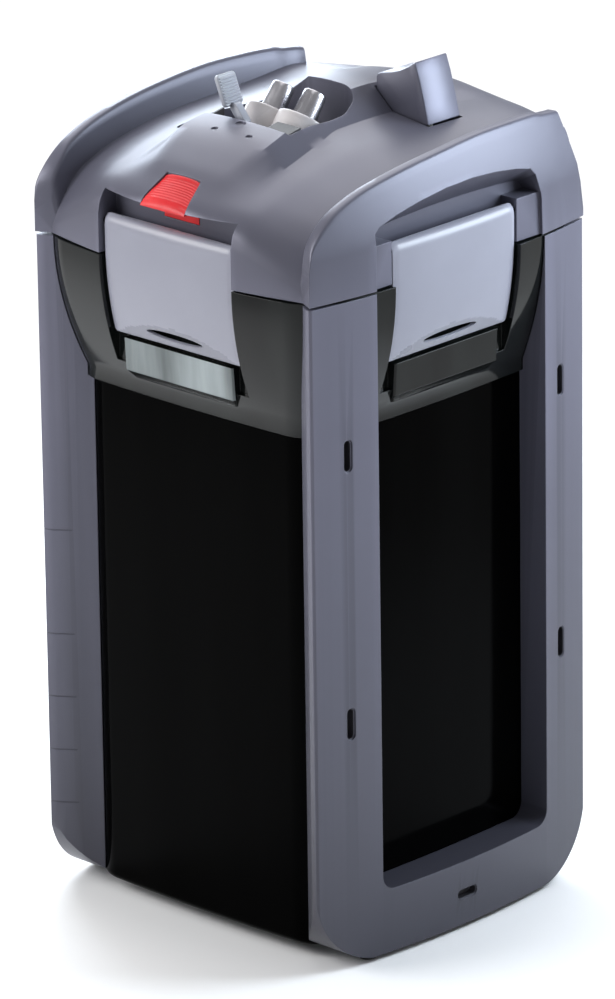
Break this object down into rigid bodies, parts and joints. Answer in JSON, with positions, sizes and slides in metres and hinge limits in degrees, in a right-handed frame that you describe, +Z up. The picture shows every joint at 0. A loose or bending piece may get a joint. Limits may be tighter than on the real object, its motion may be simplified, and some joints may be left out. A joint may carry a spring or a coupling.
{
  "type": "canister filter",
  "caption": "External aquarium canister filter: smoked vessel in side frames, pump head with closing clips, hose adapter, release lever and priming button.",
  "frame": {"origin": "centre of the footprint, on the floor under the feet", "axes": "+X to the right along the front, front face towards -Y, +Z up"},
  "size_m": [0.238, 0.2416, 0.5],
  "materials": {
    "smoked_vessel": "polished smoked transparent",
    "grey_casing": "fine spark-eroded texture",
    "rubber": "matte",
    "black_plastic": "satin moulded",
    "basket_plastic": "satin moulded",
    "ceramic_media": "rough fired ceramic",
    "porous_media": "porous sintered",
    "fine_fleece": "soft fleece",
    "coarse_foam": "open-cell foam",
    "silver_plastic": "satin metallic paint",
    "pearl_plastic": "pearl satin",
    "dark_chrome": "dark polished",
    "white_plastic": "satin moulded",
    "magnet": "ground ferrite",
    "ceramic_shaft": "polished ceramic",
    "red_window": "polished translucent",
    "steel": "satin stainless"
  },
  "bodies": {
    "canister": {"canister_tub": "smoked_vessel", "side_frame_left": "grey_casing", "side_frame_right": "grey_casing", "foot_front_left": "rubber", "foot_front_right": "rubber", "foot_rear_left": "rubber", "foot_rear_right": "rubber", "floor_grid": "black_plastic", "intake_pipe": "black_plastic"},
    "lower_basket_unit": {"lower_basket": "basket_plastic", "lower_media": "ceramic_media"},
    "middle_basket_unit": {"middle_basket": "basket_plastic", "middle_media": "porous_media"},
    "upper_basket_unit": {"upper_basket": "basket_plastic", "fine_pad": "fine_fleece", "coarse_pad": "coarse_foam"},
    "pump_head": {"head_cover": "grey_casing", "head_base": "black_plastic", "seal_ring": "rubber", "motor_block": "black_plastic", "impeller_cover": "black_plastic", "rotor_shaft": "ceramic_shaft", "flow_window": "red_window", "cable_gland": "rubber", "button_pin": "steel", "flap_pin": "steel", "priming_cylinder": "black_plastic", "head_screw_1": "steel", "head_screw_2": "steel", "head_screw_3": "steel", "head_screw_4": "steel", "motor_screw_1": "steel", "motor_screw_2": "steel", "motor_screw_3": "steel", "motor_screw_4": "steel", "clip_pin_front": "steel", "clip_pin_rear": "steel", "clip_pin_left": "steel", "clip_pin_right": "steel"},
    "rotor": {"rotor_magnet": "magnet", "impeller_wheel": "white_plastic"},
    "flow_indicator": {"flow_flap": "red_window"},
    "primer": {"priming_button": "grey_casing"},
    "primer_plunger": {"priming_piston": "white_plastic", "priming_spring": "steel"},
    "hose_adapter": {"adapter_block": "black_plastic", "twin_collar": "pearl_plastic", "inlet_stub": "dark_chrome", "outlet_stub": "dark_chrome", "inlet_oring": "rubber", "outlet_oring": "rubber", "lever_pin": "steel"},
    "lever": {"release_lever": "silver_plastic"},
    "inlet_shutoff": {"inlet_valve": "white_plastic"},
    "outlet_shutoff": {"outlet_valve": "white_plastic"},
    "front_clip": {"clip_front": "silver_plastic"},
    "rear_clip": {"clip_rear": "silver_plastic"},
    "left_clip": {"clip_left": "silver_plastic"},
    "right_clip": {"clip_right": "silver_plastic"}
  },
  "joints": [
    {"name": "head_lift", "type": "slide", "parent": "canister", "child": "pump_head", "axis": [0, 0, 1], "range_m": [0, 0.3]},
    {"name": "lower_basket_lift", "type": "slide", "parent": "canister", "child": "lower_basket_unit", "axis": [0, 0, 1], "range_m": [0, 0.061]},
    {"name": "middle_basket_lift", "type": "slide", "parent": "canister", "child": "middle_basket_unit", "axis": [0, 0, 1], "range_m": [0, 0.121]},
    {"name": "upper_basket_lift", "type": "slide", "parent": "canister", "child": "upper_basket_unit", "axis": [0, 0, 1], "range_m": [0, 0.181]},
    {"name": "impeller_spin", "type": "hinge", "parent": "pump_head", "child": "rotor", "pos_m": [0, 0, 0.37], "axis": [0, 0, 1], "continuous": true},
    {"name": "flow_flap_swing", "type": "hinge", "parent": "pump_head", "child": "flow_indicator", "pos_m": [0, -0.095, 0.443], "axis": [1, 0, 0], "range_deg": [0, 40]},
    {"name": "priming_press", "type": "hinge", "parent": "pump_head", "child": "primer", "pos_m": [0.0245, 0.0485, 0.4735], "axis": [0, 1, 0], "range_deg": [0, 25], "stiffness_Nm_per_rad": 0.06, "springref_deg": -28.65},
    {"name": "plunger_travel", "type": "slide", "parent": "pump_head", "child": "primer_plunger", "axis": [0, 0, 1], "range_m": [-0.0145, 0.0005], "deforming": ["priming_spring"]},
    {"name": "adapter_lift", "type": "slide", "parent": "pump_head", "child": "hose_adapter", "axis": [0, 0, 1], "range_m": [0, 0.06]},
    {"name": "release_lever_swing", "type": "hinge", "parent": "hose_adapter", "child": "lever", "pos_m": [-0.007, -0.044, 0.452], "axis": [0, 1, 0], "range_deg": [0, 50]},
    {"name": "inlet_valve_turn", "type": "hinge", "parent": "hose_adapter", "child": "inlet_shutoff", "pos_m": [-0.0123, -0.02, 0.444], "axis": [0, 1, 0], "range_deg": [0, 76]},
    {"name": "outlet_valve_turn", "type": "hinge", "parent": "hose_adapter", "child": "outlet_shutoff", "pos_m": [0.0123, -0.02, 0.444], "axis": [0, 1, 0], "range_deg": [0, 76]},
    {"name": "front_clip_hinge", "type": "hinge", "parent": "pump_head", "child": "front_clip", "pos_m": [0, -0.1126, 0.421], "axis": [-1, 0, 0], "range_deg": [0, 100]},
    {"name": "rear_clip_hinge", "type": "hinge", "parent": "pump_head", "child": "rear_clip", "pos_m": [0, 0.1126, 0.421], "axis": [1, 0, 0], "range_deg": [0, 100]},
    {"name": "left_clip_hinge", "type": "hinge", "parent": "pump_head", "child": "left_clip", "pos_m": [-0.1096, 0, 0.421], "axis": [0, 1, 0], "range_deg": [0, 100]},
    {"name": "right_clip_hinge", "type": "hinge", "parent": "pump_head", "child": "right_clip", "pos_m": [0.1096, 0, 0.421], "axis": [0, -1, 0], "range_deg": [0, 100]}
  ],
  "couplings": [
    {"joint": "lower_basket_lift", "follows": "head_lift", "ratio": 0.2},
    {"joint": "middle_basket_lift", "follows": "head_lift", "ratio": 0.4},
    {"joint": "upper_basket_lift", "follows": "head_lift", "ratio": 0.6},
    {"joint": "plunger_travel", "follows": "priming_press", "m_per_rad": -0.032},
    {"joint": "inlet_valve_turn", "follows": "release_lever_swing", "ratio": 1.5},
    {"joint": "outlet_valve_turn", "follows": "release_lever_swing", "ratio": 1.5}
  ]
}
